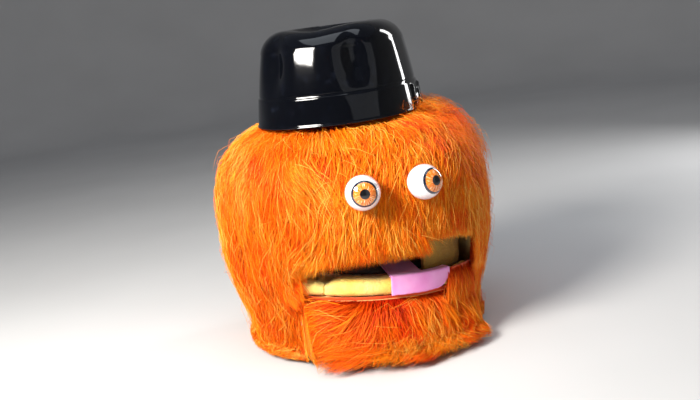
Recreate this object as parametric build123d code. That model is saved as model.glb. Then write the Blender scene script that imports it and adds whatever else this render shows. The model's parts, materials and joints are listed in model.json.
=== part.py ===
from build123d import *
from math import cos, radians, sin
import os

# Moving mouth puppet: a hollow foam head covered in long orange fur, with a hinged jaw that a hand
# works from inside, a moulded plastic hat crown, two glued ball eyes and a craft-foam tongue.
# Millimetres, +Z up. The face looks along -Y and the puppet's own left is +X.
# The head stands on its base at Z = 0. Parts are drawn about the head's axis, and place() moves
# them back by HEAD_Y, so that the origin is under the middle of the whole outline.
# An azimuth is 0 straight ahead (-Y) and positive towards the puppet's left (+X).

# Head: the foam's outer surface as (radius, height, angle that its normal rises above level)
OUTLINE = [
    (111.0, 0.0, 0.0),
    (113.0, 32.0, -7.0),
    (121.0, 62.0, -17.0),
    (129.0, 90.0, -12.0),
    (132.0, 125.0, 0.0),
    (130.0, 168.0, 8.0),
    (121.0, 193.0, 29.0),
    (106.0, 211.5, 50.0),
    (80.0, 223.0, 74.0),
    (0.0, 228.5, 90.0),
]
FOAM_WALL = 24.0  # the head is built of foam of this thickness
PILE = 12.0  # how far the brushed fur stands off the foam
PRESSED_PILE = 5.0  # under the hat
GLUE = 0.3  # glue line between fur cloth and foam
HEAD_TOP = 240.0  # above everything but the hat
CROWN_SEAM = 200.0  # height of the seam round the crown's foam
FUR_SEAM = 212.0  # height of the seam round the crown's fur
FACE_SEAM = 45.0  # azimuth of the seams beside the face
BACK_SEAM = 125.0  # azimuth of the seams behind the sides
HEM_LIFT = 2.0  # the fur cloth stops this far above the table

# Jaw slot and jaw
SLOT_HALF = 94.0
JAW_HALF = 90.0
HINGE_Y = 20.0
HINGE_Z = 104.0
MOUTH_ROLL = 5.5  # the mouth and jaw sit askew: the puppet's left corner hangs lower
MOUTH_DROP = 3.5
UPPER_TILT = -5.5  # the upper mouth board rises towards the front
LOWER_TILT = 7.1  # the lower one falls
FELT_FACE = 1.5  # from the hinge axis to each felt face
FELT = 2.0
BOARD = 3.0
BOARD_BACK = -5.0  # rear edges of the boards, from the hinge axis
FELT_BACK = -27.0  # the felt stops clear of the hinge leaves
UPPER_BOARD_R = 125.0
LOWER_BOARD_R = 107.0
JAW_BOTTOM = 40.0
JAW_INNER_R = 96.0
JAW_OUTER_R = 121.0
JAW_FUR_R = 130.0
JAW_FUR_CORNER = (28.5, 60.0)  # azimuths where the fur is folded up over the lip
JAW_FUR_CORNER_R = 134.0
JAW_FUR_CORNER_TOP = 87.0
LIP_BOTTOM = 68.8
LIP_TOP = 85.0
LIP_INNER_R = 109.0
LIP_OUTER_R = 126.0
LIP_ROUND = 5.0
LIP_SEAM = -32.0  # azimuth where the two strips of lip foam meet
LIP_END = 45.5
CHEEK_INNER_R = 111.0
CHEEK_OUTER_R = 117.0
CHEEK_BOTTOM = 84.0
CHEEK_CLEAR = 2.5
CHEEK_LEFT = (17.0, 46.0)  # azimuths
CHEEK_RIGHT = (-47.0, -39.0)

# Tongue, cut from a sheet of craft foam
TONGUE = 3.0
TONGUE_SIDES = (-2.5, 28.0)  # azimuths of the part that hangs over the lip
TONGUE_ROOT_X = (-4.0, 28.0)
TONGUE_ROOT_BACK = -85.0  # from the hinge axis
TONGUE_HEM = 69.2
TONGUE_CREASE = 2.0  # radius of the fold's outer edge
TOUCH = 0.2  # clearance where a loose piece lies on another

# Hinge
HINGE_HALF = 30.0
KNUCKLES = 5
KNUCKLE_R = 3.4
KNUCKLE_GAP = 0.3
PIN_R = 1.5
PIN_FIT = 0.05
LEAF = 1.0
LEAF_DEPTH = 24.0
RIVET_R = 1.5
RIVET_HEAD_R = 3.0
RIVET_HEAD = 0.8
RIVET_XS = (-22.0, 0.0, 22.0)
RIVET_Y = -14.0

# Elastic straps inside, for the fingers and the thumb
STRAP = 1.5
STRAP_FOOT = 10.0
FINGER_STRAP = (42.0, 26.0, -76.0, -46.0)  # half width, height, front and back from the hinge
THUMB_STRAP = (20.0, 26.0, -72.0, -44.0)

# Eyes
EYE_R = 16.5
EYE_OUT = 150.0  # from the head's axis to a ball's centre
EYE_AZIMUTH = 11.6
EYE_Z = 173.0
EYE_WALL = 1.5
EYE_NEST = 0.7  # the pile is parted this far round a ball
PAD_R = 8.0
PAD_IN = 118.0
PAD_OUT = 140.0

# Hat crown
HAT_RIM = (83.5, 97.5)  # half width and half depth
HAT_SHOULDER = (67.5, 81.5)
HAT_BOTTOM = 231.0  # the rim is pressed into the pile
HAT_TOP = 324.0
HAT_ROUND = 21.0
HAT_WALL = 1.2
HAT_TURN = -31.0
HAT_DENT_R = 70.0
HAT_DENT = 11.0
HAT_DENT_RUN = 40.0  # the dent is a groove this long with ball ends
PLUG = 34.0

HEAD_Y = (EYE_OUT * cos(radians(EYE_AZIMUTH)) + EYE_R - (OUTLINE[4][0] + PILE)) / 2


def block(x, y, z):
    """A box between pairs of x, y and z limits."""
    centre = [(low + high) / 2 for low, high in (x, y, z)]
    sizes = [high - low for low, high in (x, y, z)]
    return Pos(*centre) * Box(*sizes)


def outline(reach, top_reach):
    """The area inside the head's outline moved outwards by reach, and by top_reach at the top."""
    points = []
    for radius, height, rise in OUTLINE:
        moved = reach + (top_reach - reach) * (rise / 90) ** 4
        out, up = moved * cos(radians(rise)), moved * sin(radians(rise))
        points.append((radius + out if radius else 0.0, 0, height + up if height else 0.0))
    curve = Spline(*points, tangents=[(0, 0, 1), (-1, 0, 0)])
    sides = Polyline(points[-1], (0, 0, 0), points[0])
    return make_face([*curve.edges(), *sides.edges()])


def sector(section, start, end):
    """A section of radius and height, turned about the head's axis between two azimuths."""
    return Rot(0, 0, start - 90) * revolve(section, axis=Axis.Z, revolution_arc=end - start)


def band(radii, heights):
    """A rectangular section between two radii and two heights."""
    (inner, outer), (low, high) = radii, heights
    corners = [(inner, 0, low), (outer, 0, low), (outer, 0, high), (inner, 0, high)]
    return make_face(Polyline(*corners, close=True))


def layer(outer, inner, heights, start=0.0, end=360.0):
    """What lies between two outlines and two heights, from one azimuth to another."""
    section = (outer - inner) & band((0.0, HEAD_TOP), heights)
    return sector(section, start, end)


def on_hinge(part, tilt=0.0):
    """A part drawn about the hinge axis, level, in its place in the head."""
    return Pos(0, HINGE_Y, HINGE_Z) * Rot(tilt, 0, 0) * part


def askew(part):
    """A part of the mouth or jaw, drawn level about the head's axis, turned and lowered to its place."""
    return Pos(0, HINGE_Y, HINGE_Z - MOUTH_DROP) * Rot(0, MOUTH_ROLL, 0) * Pos(0, -HINGE_Y, -HINGE_Z) * part


def below_board(rise):
    """Everything up to a plane that far above the hinge axis along the upper board."""
    return askew(on_hinge(block((-190, 190), (-190, 190), (-190, rise)), UPPER_TILT))


def jaw_slot(rise):
    """The room that the jaw moves in, up to that plane; its walls stand upright."""
    return below_board(rise) & block((-SLOT_HALF, SLOT_HALF), (-190, 0), (-10, HEAD_TOP))


def on_side(part, side):
    """A part drawn on the puppet's left, or its mirror image for side -1."""
    return part if side > 0 else mirror(part, about=Plane.YZ)


FOAM = outline(0.0, 0.0)
HOLLOW = outline(-FOAM_WALL, -FOAM_WALL)
FUR = outline(PILE, PRESSED_PILE)
FUR_BACKING = outline(GLUE, GLUE)
BOARD_TOP = FELT_FACE + FELT + BOARD


# ---- Head foam ----


def face_foam():
    wall = layer(FOAM, HOLLOW, (100.0, CROWN_SEAM), -FACE_SEAM, FACE_SEAM)
    return wall - below_board(BOARD_TOP)


def side_foam(side):
    wall = layer(FOAM, HOLLOW, (0.0, CROWN_SEAM), FACE_SEAM, BACK_SEAM)
    return on_side(wall, side) - jaw_slot(BOARD_TOP)


def back_foam():
    return layer(FOAM, HOLLOW, (0.0, CROWN_SEAM), BACK_SEAM, 360 - BACK_SEAM)


def crown_foam():
    return layer(FOAM, HOLLOW, (CROWN_SEAM, HEAD_TOP))


def cheek_foam(azimuths):
    """A thin strip of foam that closes a corner of the mouth, glued under the upper lining."""
    strip = sector(band((CHEEK_INNER_R, CHEEK_OUTER_R), (CHEEK_BOTTOM, 130.0)), *azimuths)
    return askew(strip & on_hinge(block((-190, 190), (-190, 190), (-190, FELT_FACE)), UPPER_TILT))


# ---- Fur panels: cloth with its pile, one closed solid each ----


def eye_room():
    """The space that the two balls and their pads need in the fur."""
    balls = [eye_place(side) * Sphere(EYE_R + EYE_NEST) for side in (-1, 1)]
    pads = [pad_core(side, PAD_R + EYE_NEST) for side in (-1, 1)]
    return balls + pads


def fur_face():
    panel = layer(FUR, FUR_BACKING, (100.0, FUR_SEAM), -FACE_SEAM, FACE_SEAM)
    return panel - below_board(FELT_FACE) - eye_room()


def fur_side(side):
    panel = layer(FUR, FUR_BACKING, (HEM_LIFT, FUR_SEAM), FACE_SEAM, BACK_SEAM)
    return on_side(panel, side) - jaw_slot(FELT_FACE)


def fur_back():
    return layer(FUR, FUR_BACKING, (HEM_LIFT, FUR_SEAM), BACK_SEAM, 360 - BACK_SEAM)


def fur_crown():
    return layer(FUR, FUR_BACKING, (FUR_SEAM, HEAD_TOP))


def fur_jaw():
    hem = LIP_BOTTOM - 0.5
    section = band((JAW_OUTER_R + GLUE, JAW_FUR_R), (JAW_BOTTOM - HEM_LIFT, hem))
    folded = band((LIP_OUTER_R + GLUE, JAW_FUR_CORNER_R), (hem, JAW_FUR_CORNER_TOP))
    return in_slot(askew(sector(section, -60, 60) + sector(folded, *JAW_FUR_CORNER)))


# ---- Eyes ----


def eye_place(side):
    """Where a ball's centre is, side -1 for the puppet's right and 1 for its left."""
    azimuth = radians(side * EYE_AZIMUTH)
    return Pos(EYE_OUT * sin(azimuth), -EYE_OUT * cos(azimuth), EYE_Z)


def pad_core(side, radius):
    core = Pos((PAD_IN + PAD_OUT) / 2, 0, EYE_Z) * Rot(0, 90, 0) * Cylinder(radius, PAD_OUT - PAD_IN)
    return Rot(0, 0, side * EYE_AZIMUTH - 90) * core


def eyeball(side):
    return eye_place(side) * (Sphere(EYE_R) - Sphere(EYE_R - EYE_WALL))


def eye_pad(side):
    """A felt stub glued to the foam, hollowed to seat the ball."""
    stub = pad_core(side, PAD_R) - eye_place(side) * Sphere(EYE_R + TOUCH)
    return stub - sector(FUR_BACKING, side * EYE_AZIMUTH - 20, side * EYE_AZIMUTH + 20)


# ---- Hat ----


def crown_block(inset):
    """The hat's block: an oval that narrows upwards, rounded at the shoulder, with a centre dent."""
    bottom = Pos(0, 0, HAT_BOTTOM) * Ellipse(HAT_RIM[0] - inset, HAT_RIM[1] - inset)
    top = Pos(0, 0, HAT_TOP - inset) * Ellipse(HAT_SHOULDER[0] - inset, HAT_SHOULDER[1] - inset)
    body = loft([bottom.face(), top.face()])
    body = fillet(body.edges().group_by(Axis.Z)[-1], HAT_ROUND)
    groove = Rot(90, 0, 0) * Cylinder(HAT_DENT_R + inset, HAT_DENT_RUN)
    for end in (-HAT_DENT_RUN / 2, HAT_DENT_RUN / 2):
        groove += Pos(0, end, 0) * Sphere(HAT_DENT_R + inset)
    return body - Pos(0, 0, HAT_TOP + HAT_DENT_R - HAT_DENT) * groove


def hat_shell():
    return Rot(0, 0, HAT_TURN) * (crown_block(0.0) - crown_block(HAT_WALL))


def hat_plug():
    """A foam slab in the hat's mouth, hollowed to sit on the head and glued to it and to the hat."""
    slab = block((-120, 120), (-120, 120), (HAT_BOTTOM, HAT_BOTTOM + PLUG))
    slab = Rot(0, 0, HAT_TURN) * (crown_block(HAT_WALL + GLUE) & slab)
    return slab - sector(outline(PILE + GLUE, PRESSED_PILE + GLUE), 0, 360)


# ---- Mouth boards, felt, straps and hinge, drawn about the hinge axis ----


def board_plan(radius, half_width, back):
    """A D-shaped plan: round at the front like the head, cut straight at the sides and back."""
    front = -radius - HINGE_Y
    plan = Rectangle(2 * half_width, back - front, align=(Align.CENTER, Align.MIN))
    return (Pos(0, front) * plan) & (Pos(0, -HINGE_Y) * Circle(radius))


def rivet_holes():
    return [Pos(x, RIVET_Y, 0) * Cylinder(RIVET_R + PIN_FIT, 40) for x in RIVET_XS]


def mouth_board(radius, half_width):
    """An upper board at its height above the hinge axis; the lower one is its mirror image."""
    plan = board_plan(radius, half_width, BOARD_BACK)
    board = Pos(0, 0, FELT_FACE + FELT) * extrude(plan, BOARD)
    return board - rivet_holes()


def mouth_felt(radius, half_width):
    plan = board_plan(radius, half_width, FELT_BACK)
    return Pos(0, 0, FELT_FACE) * extrude(plan, FELT)


def strap(half_width, height, front, back):
    """An elastic band arched over a board, with a flat foot glued down at each end."""
    base = FELT_FACE + FELT + BOARD
    arch = Ellipse(half_width, height) - Ellipse(half_width - STRAP, height - STRAP)
    arch &= Pos(0, height / 2) * Rectangle(3 * half_width, height)
    for side in (-1, 1):
        arch += Pos(side * (half_width + STRAP_FOOT / 2 - STRAP), STRAP / 2) * Rectangle(STRAP_FOOT, STRAP)
    return Pos(0, back, base) * Rot(90, 0, 0) * extrude(arch, back - front)


def knuckle_span(index):
    """The x limits of one of the hinge's knuckles."""
    pitch = 2 * HINGE_HALF / KNUCKLES
    return -HINGE_HALF + index * pitch, -HINGE_HALF + (index + 1) * pitch


def barrel(index, radius, gap):
    low, high = knuckle_span(index)
    return Pos((low + high) / 2, 0, 0) * Rot(0, 90, 0) * Cylinder(radius, high - low - gap)


def hinge_leaf(first):
    """One leaf above the axis with every second knuckle, starting from the given one."""
    leaf = block((-HINGE_HALF, HINGE_HALF), (-LEAF_DEPTH, 0), (KNUCKLE_R - LEAF, KNUCKLE_R))
    for index in range(KNUCKLES):
        if index % 2 == first:
            leaf += barrel(index, KNUCKLE_R, KNUCKLE_GAP)
        else:
            leaf -= barrel(index, KNUCKLE_R + KNUCKLE_GAP, -KNUCKLE_GAP)
    leaf -= Rot(0, 90, 0) * Cylinder(PIN_R + PIN_FIT, 3 * HINGE_HALF)
    return leaf - rivet_holes()


def hinge_rivets():
    """Three rivets through a leaf and its board, headed at both ends."""
    low = KNUCKLE_R - LEAF
    rivets = []
    for x in RIVET_XS:
        shank = Pos(x, RIVET_Y, (low + BOARD_TOP) / 2) * Cylinder(RIVET_R, BOARD_TOP - low)
        inner = Pos(x, RIVET_Y, low - RIVET_HEAD / 2) * Cylinder(RIVET_HEAD_R, RIVET_HEAD)
        outer = Pos(x, RIVET_Y, BOARD_TOP + RIVET_HEAD / 2) * Cylinder(RIVET_HEAD_R, RIVET_HEAD)
        rivets.append(shank + inner + outer)
    return Compound(children=rivets)


def hinge_pin():
    """The pin, peened to a small head at each end."""
    head = Rot(0, 90, 0) * Cylinder(PIN_R + 0.9, 1.0)
    pin = Rot(0, 90, 0) * Cylinder(PIN_R, 2 * HINGE_HALF + 2)
    return pin + [Pos(side * (HINGE_HALF + 1.0), 0, 0) * head for side in (-1, 1)]


def upper(part):
    return askew(on_hinge(part, UPPER_TILT))


def lower(part):
    return askew(on_hinge(mirror(part, about=Plane.XY), LOWER_TILT))


# ---- Jaw ----


def in_slot(part):
    return part & block((-JAW_HALF, JAW_HALF), (-190, 0), (0, HEAD_TOP))


def jaw_foam():
    """A curved wall of foam with a narrow upstand that carries the lower board."""
    wall = sector(band((JAW_INNER_R, JAW_OUTER_R), (JAW_BOTTOM, LIP_BOTTOM)), -60, 60)
    upstand = sector(band((JAW_INNER_R, LOWER_BOARD_R), (LIP_BOTTOM - 1, LIP_TOP + 20)), -60, 60)
    below = on_hinge(block((-190, 190), (-190, 190), (-190, -BOARD_TOP)), LOWER_TILT)
    return in_slot(askew(wall + (upstand & below)))


def lip_foam(start, end):
    """A strip of lip foam, rounded along the front and thinned where a cheek strip passes it."""
    section = band((LIP_INNER_R, LIP_OUTER_R), (LIP_BOTTOM, LIP_TOP))
    front = [v for v in section.vertices() if v.X > LIP_OUTER_R - 1]
    strip = sector(fillet(front, LIP_ROUND), start, end)
    room = band((LIP_INNER_R - 1, CHEEK_OUTER_R + CHEEK_CLEAR), (LIP_BOTTOM - 1, LIP_TOP + 1))
    for azimuths in (CHEEK_LEFT, CHEEK_RIGHT):
        if start < azimuths[1] and azimuths[0] < end:
            strip -= sector(room, azimuths[0] - 3, azimuths[1] + 3)
    return in_slot(askew(strip))


def tongue():
    """A strip of craft foam that lies on the lower lining and folds down over the lip."""
    inner, outer = LIP_OUTER_R + TOUCH, LIP_OUTER_R + TOUCH + TONGUE
    top = LIP_TOP + TOUCH + TONGUE
    over_lip = band((CHEEK_OUTER_R + CHEEK_CLEAR, outer), (top - TONGUE, top))
    hanging = band((inner, outer), (TONGUE_HEM, top))
    fold = sector(over_lip + hanging, *TONGUE_SIDES)
    crease = fold.edges().filter_by_position(Axis.Z, top - 0.01, top + 0.01).sort_by(SortBy.LENGTH)[-1]
    fold = fillet(crease, TONGUE_CREASE)
    front = -(CHEEK_OUTER_R + CHEEK_CLEAR + 2 + HINGE_Y)
    floor = -FELT_FACE + TOUCH
    root = block(TONGUE_ROOT_X, (front, TONGUE_ROOT_BACK), (floor, floor + TONGUE))
    return askew(fold + on_hinge(root, LOWER_TILT))


def build():
    """Every sub-part by its node's name."""
    return {
        "face_foam": face_foam(),
        "side_foam_left": side_foam(1),
        "side_foam_right": side_foam(-1),
        "back_foam": back_foam(),
        "crown_foam": crown_foam(),
        "cheek_foam_left": cheek_foam(CHEEK_LEFT),
        "cheek_foam_right": cheek_foam(CHEEK_RIGHT),
        "fur_face": fur_face(),
        "fur_side_left": fur_side(1),
        "fur_side_right": fur_side(-1),
        "fur_back": fur_back(),
        "fur_crown": fur_crown(),
        "hat_shell": hat_shell(),
        "hat_plug": hat_plug(),
        "eyeball_left": eyeball(1),
        "eyeball_right": eyeball(-1),
        "eye_pad_left": eye_pad(1),
        "eye_pad_right": eye_pad(-1),
        "upper_mouth_board": upper(mouth_board(UPPER_BOARD_R, SLOT_HALF - 2)),
        "upper_mouth_felt": upper(mouth_felt(UPPER_BOARD_R, SLOT_HALF - 2)),
        "finger_strap": upper(strap(*FINGER_STRAP)),
        "hinge_leaf_upper": upper(hinge_leaf(0)),
        "hinge_rivets_upper": upper(hinge_rivets()),
        "hinge_pin": askew(on_hinge(hinge_pin())),
        "jaw_foam": jaw_foam(),
        "lip_foam_left": lip_foam(LIP_SEAM, LIP_END),
        "lip_foam_right": lip_foam(-LIP_END, LIP_SEAM),
        "lower_mouth_board": lower(mouth_board(LOWER_BOARD_R, JAW_HALF - 3)),
        "lower_mouth_felt": lower(mouth_felt(LOWER_BOARD_R, JAW_HALF - 3)),
        "thumb_strap": lower(strap(*THUMB_STRAP)),
        "hinge_leaf_lower": lower(hinge_leaf(1)),
        "hinge_rivets_lower": lower(hinge_rivets()),
        "tongue": tongue(),
        "fur_jaw": fur_jaw(),
    }


os.makedirs("parts", exist_ok=True)
for name, part in build().items():
    export_step(Pos(0, HEAD_Y, 0) * part, f"parts/{name}.step")
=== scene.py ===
import json
from math import atan2, cos, pi, radians, sin

import bpy
import numpy as np
from mathutils import Matrix, Vector, noise
from mathutils.bvhtree import BVHTree
from mathutils.kdtree import KDTree


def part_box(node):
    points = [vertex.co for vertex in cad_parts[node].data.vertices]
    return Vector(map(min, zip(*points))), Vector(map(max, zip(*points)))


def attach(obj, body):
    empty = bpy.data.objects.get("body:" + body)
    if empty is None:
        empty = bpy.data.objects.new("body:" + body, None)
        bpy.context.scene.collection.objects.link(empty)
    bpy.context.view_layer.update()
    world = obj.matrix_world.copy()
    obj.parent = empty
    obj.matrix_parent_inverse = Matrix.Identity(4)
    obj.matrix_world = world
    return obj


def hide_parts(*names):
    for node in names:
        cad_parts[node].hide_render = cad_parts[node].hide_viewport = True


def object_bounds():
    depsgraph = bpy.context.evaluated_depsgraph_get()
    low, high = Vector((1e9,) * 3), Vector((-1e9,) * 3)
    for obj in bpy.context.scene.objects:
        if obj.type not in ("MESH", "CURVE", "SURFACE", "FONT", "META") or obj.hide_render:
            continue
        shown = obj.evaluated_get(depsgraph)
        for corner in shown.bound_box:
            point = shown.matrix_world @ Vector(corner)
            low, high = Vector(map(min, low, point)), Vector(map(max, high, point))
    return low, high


# Looks of the moving mouth puppet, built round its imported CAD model. Metres, +Z up, face along -Y.
# An azimuth is measured about the head's axis: 0 straight ahead, positive to the puppet's left (+X).

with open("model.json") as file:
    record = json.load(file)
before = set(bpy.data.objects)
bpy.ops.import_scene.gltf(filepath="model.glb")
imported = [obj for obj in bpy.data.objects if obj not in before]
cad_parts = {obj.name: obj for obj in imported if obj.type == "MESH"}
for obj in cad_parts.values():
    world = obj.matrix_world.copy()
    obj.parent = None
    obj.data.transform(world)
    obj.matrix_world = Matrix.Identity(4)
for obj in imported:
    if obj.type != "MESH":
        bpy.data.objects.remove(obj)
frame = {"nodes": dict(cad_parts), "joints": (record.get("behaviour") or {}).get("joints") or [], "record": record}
CAD_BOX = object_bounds()

# ---- Places, read from the frame ----


def middle(node):
    low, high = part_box(node)
    return (low + high) / 2


def tree_of(node):
    mesh = frame["nodes"][node].data
    return BVHTree.FromPolygons([v.co for v in mesh.vertices], [tuple(p.vertices) for p in mesh.polygons])


SIDES = (("right", -1), ("left", 1))
AXIS_Y = middle("fur_crown").y
TABLE = CAD_BOX[0].z
JAW_GAP = 0.004  # from the jaw to each wall of its slot
SLOT_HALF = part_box("jaw_foam")[1].x + JAW_GAP
CROWN_SEAM_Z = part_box("fur_crown")[0].z
EYES = {side: middle("eyeball_" + side) for side in ("right", "left")}
EYE_R = (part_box("eyeball_left")[1].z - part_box("eyeball_left")[0].z) / 2
HAT_LOW, HAT_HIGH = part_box("hat_shell")

# The mouth and jaw sit askew: level shapes are drawn about the hinge and then rolled with its axis.
HINGE, AXIS = (Vector(frame["joints"][0][key]) for key in ("pos_m", "axis"))
ROLL = atan2(-AXIS.z, AXIS.x)
ASKEW = Matrix.Translation(HINGE) @ Matrix.Rotation(ROLL, 4, "Y") @ Matrix.Translation(-HINGE)
LEVEL = ASKEW.inverted()
TABLE_GRIP = 0.040  # hair this close to the table lies along it, whatever the roll


def level_box(node):
    """The corners of a node's box before the roll."""
    spots = np.array([LEVEL @ v.co for v in frame["nodes"][node].data.vertices])
    return Vector(spots.min(axis=0)), Vector(spots.max(axis=0))


def askew(points):
    """Rolls level points with the mouth, less and less towards the table."""
    turn = np.array(ASKEW)
    moved = points @ turn[:3, :3].T + turn[:3, 3]
    share = np.clip((points[..., 2:] - TABLE) / TABLE_GRIP, 0, 1)
    return points + (moved - points) * share


LIP_LOW, LIP_HIGH = level_box("lip_foam_left")


def radius_of(point):
    return (point.x**2 + (point.y - AXIS_Y) ** 2) ** 0.5


def foam_outline():
    """The foam's outer surface as (radius, height) from the top's middle to the table, read at the back."""
    cap, wall = tree_of("crown_foam"), tree_of("back_foam")
    line = []
    for radius in np.linspace(0.001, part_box("crown_foam")[1].x - 0.0004, 30):
        hit = cap.ray_cast(Vector((0.0002, AXIS_Y + radius, 1)), Vector((0, 0, -1)))[0]
        line.append((radius, hit.z))
    for height in np.linspace(0.199, 0.001, 60):
        hit = wall.ray_cast(Vector((0.0002, 1, height)), Vector((0, -1, 0)))[0]
        line.append((hit.y - AXIS_Y, height))
    return np.array(line)


FOAM_LINE = foam_outline()

# ---- Helpers ----


def add(name, data):
    made = bpy.data.objects.new(name, data)
    bpy.context.scene.collection.objects.link(made)
    return made


def shade_smooth(mesh):
    mesh.polygons.foreach_set("use_smooth", [True] * len(mesh.polygons))


def link(name, mesh, material, body, slot):
    """A new piece of the object that rides on a body."""
    piece = add(name, mesh)
    mesh.materials.append(material)
    shade_smooth(mesh)
    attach(piece, body)
    return piece


def place(radius, azimuth, height):
    """The points at these radii, azimuths (radians) and heights, as an array of rows."""
    out = [radius * np.sin(azimuth), AXIS_Y - radius * np.cos(azimuth), height + 0 * azimuth]
    return np.stack(np.broadcast_arrays(*out), axis=-1)


def unit(vectors):
    return vectors / np.maximum(np.linalg.norm(vectors, axis=-1, keepdims=True), 1e-9)


def grid_faces(rows, columns, wrap=False):
    """Quads over a grid of points stored row by row; wrap joins the last column to the first."""
    faces = []
    for r in range(rows - 1):
        for c in range(columns if wrap else columns - 1):
            d = (c + 1) % columns
            faces.append((r * columns + c, r * columns + d, (r + 1) * columns + d, (r + 1) * columns + c))
    return faces


def mesh_of(name, points, faces):
    mesh = bpy.data.meshes.new(name)
    mesh.from_pydata([tuple(p) for p in np.asarray(points).reshape(-1, 3)], [], faces)
    mesh.update()
    return mesh


def tube_mesh(name, sections):
    """A closed skin over a row of closed sections, an array of (section, point, 3), with end caps."""
    count, around, _ = sections.shape
    faces = grid_faces(count, around, wrap=True)
    faces.append(tuple(range(around - 1, -1, -1)))
    faces.append(tuple((count - 1) * around + k for k in range(around)))
    return mesh_of(name, sections, faces)


def bump_at(value, centre, width):
    return np.exp(-(((value - centre) / width) ** 2))


def step(value, edge, soft_width):
    """0 before an edge and 1 after it, smoothly."""
    t = np.clip((value - edge) / soft_width + 0.5, 0, 1)
    return t * t * (3 - 2 * t)


def sweep(name, path, radius, sides=8):
    """A round thread along a path of points, with ends."""
    along = unit(np.gradient(path, axis=0))
    across = unit(np.cross(along, [0.0, 0.0, 1.0]))
    above = np.cross(across, along)
    angle = np.linspace(0, 2 * pi, sides + 1)[:-1]
    ring = across[:, None] * np.cos(angle)[:, None] + above[:, None] * np.sin(angle)[:, None]
    return facing_out(tube_mesh(name, path[:, None] + ring * radius))


def facing_out(mesh):
    """Turns a closed mesh's faces outwards."""
    volume = 0.0
    mesh.calc_loop_triangles()
    for t in mesh.loop_triangles:
        a, b, c = (mesh.vertices[i].co for i in t.vertices)
        volume += a.dot(b.cross(c))
    if volume < 0:
        mesh.flip_normals()
    return mesh


def roughen(mesh, amount, size, seed=0.0):
    """Moves a mesh's points along their normals by smooth noise."""
    shift = Vector((seed, 2 * seed, 3 * seed))
    moves = [v.normal * (noise.noise(v.co / size + shift) * amount) for v in mesh.vertices]
    for v, move in zip(mesh.vertices, moves):
        v.co += move
    mesh.update()


# ---- Materials ----


class Shader:
    """A material's nodes, with the few calls that every material here uses."""

    def __init__(self, name, roughness=0.6, **sockets):
        self.material = bpy.data.materials.new(name)
        self.material.use_nodes = True
        self.tree = self.material.node_tree
        self.bsdf = self.tree.nodes["Principled BSDF"]
        self.bsdf.inputs["Roughness"].default_value = roughness
        for socket, value in sockets.items():
            self.bsdf.inputs[socket.replace("_", " ")].default_value = value

    def node(self, kind, **values):
        made = self.tree.nodes.new("ShaderNode" + kind)
        for key, value in values.items():
            if key in made.inputs:
                made.inputs[key].default_value = value
            else:
                setattr(made, key, value)
        return made

    def join(self, source, target):
        self.tree.links.new(source, target)

    def place(self, scale=1.0):
        """Object coordinates, scaled."""
        spot = self.node("TexCoord").outputs["Object"]
        mapping = self.node("Mapping", Scale=(scale, scale, scale))
        self.join(spot, mapping.inputs["Vector"])
        return mapping.outputs["Vector"]

    def noise(self, scale, detail=4.0, rough=0.5, spot=None):
        made = self.node("TexNoise", Scale=scale, Detail=detail, Roughness=rough)
        self.join(spot or self.place(), made.inputs["Vector"])
        return made.outputs["Fac"]

    def cells(self, scale, spot=None):
        made = self.node("TexVoronoi", Scale=scale, feature="F1")
        self.join(spot or self.place(), made.inputs["Vector"])
        return made.outputs["Distance"]

    def ramp(self, value, *stops, interpolation="LINEAR"):
        made = self.node("ValToRGB")
        made.color_ramp.interpolation = interpolation
        elements = made.color_ramp.elements
        while len(elements) < len(stops):
            elements.new(0.5)
        for element, (position, colour) in zip(elements, stops):
            element.position = position
            element.color = (*colour, 1.0)
        self.join(value, made.inputs["Fac"])
        return made.outputs["Color"]

    def mix(self, share, first, second, blend="MIX"):
        made = self.node("Mix", data_type="RGBA", blend_type=blend)
        for key, value in (("Factor", share), ("A", first), ("B", second)):
            sockets = [s for s in made.inputs if s.name == key and s.enabled]
            if isinstance(value, bpy.types.NodeSocket):
                self.join(value, sockets[0])
            elif isinstance(value, tuple):
                sockets[0].default_value = (*value, 1.0)
            else:
                sockets[0].default_value = value
        return next(s for s in made.outputs if s.enabled)

    def math(self, operation, first, second=0.0):
        made = self.node("Math", operation=operation)
        for socket, value in zip(made.inputs, (first, second)):
            if isinstance(value, bpy.types.NodeSocket):
                self.join(value, socket)
            else:
                socket.default_value = value
        return made.outputs[0]

    def colour(self, value):
        self.join(value, self.bsdf.inputs["Base Color"])

    def bump(self, height, strength, distance):
        made = self.node("Bump", Strength=strength, Distance=distance)
        self.join(height, made.inputs["Height"])
        self.join(made.outputs["Normal"], self.bsdf.inputs["Normal"])


HAIR_UV = "OFBake"  # u is a hair's tone and v runs from its root to its tip


def fur_material():
    """Long acrylic pile, by tone: darker and redder at the root, which is painted shade deep in the pile, and
    paler and yellower towards the tip.
    """
    s = Shader("fur_pile", roughness=0.45, Specular_IOR_Level=0.16)
    uv = s.node("UVMap", uv_map=HAIR_UV).outputs["UV"]
    split = s.node("SeparateXYZ")
    s.join(uv, split.inputs[0])
    tone, along = split.outputs[0], split.outputs[1]
    # root colours: painted shade, a dark red for the shade deep in the pile and in the gaps between locks
    root = s.ramp(tone, (0.0, (0.42, 0.006, 0.001)), (0.5, (0.85, 0.040, 0.001)), (1.0, (1.0, 0.15, 0.003)))
    tip = s.ramp(tone, (0.0, (0.92, 0.060, 0.001)), (0.35, (1.0, 0.18, 0.002)), (0.7, (1.0, 0.34, 0.006)),
                 (1.0, (1.0, 0.58, 0.10)))
    share = s.ramp(along, (0.0, (0, 0, 0)), (0.45, (0.8, 0.8, 0.8)), (1.0, (1, 1, 1)))
    s.colour(s.mix(share, root, tip))
    return s.material


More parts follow.
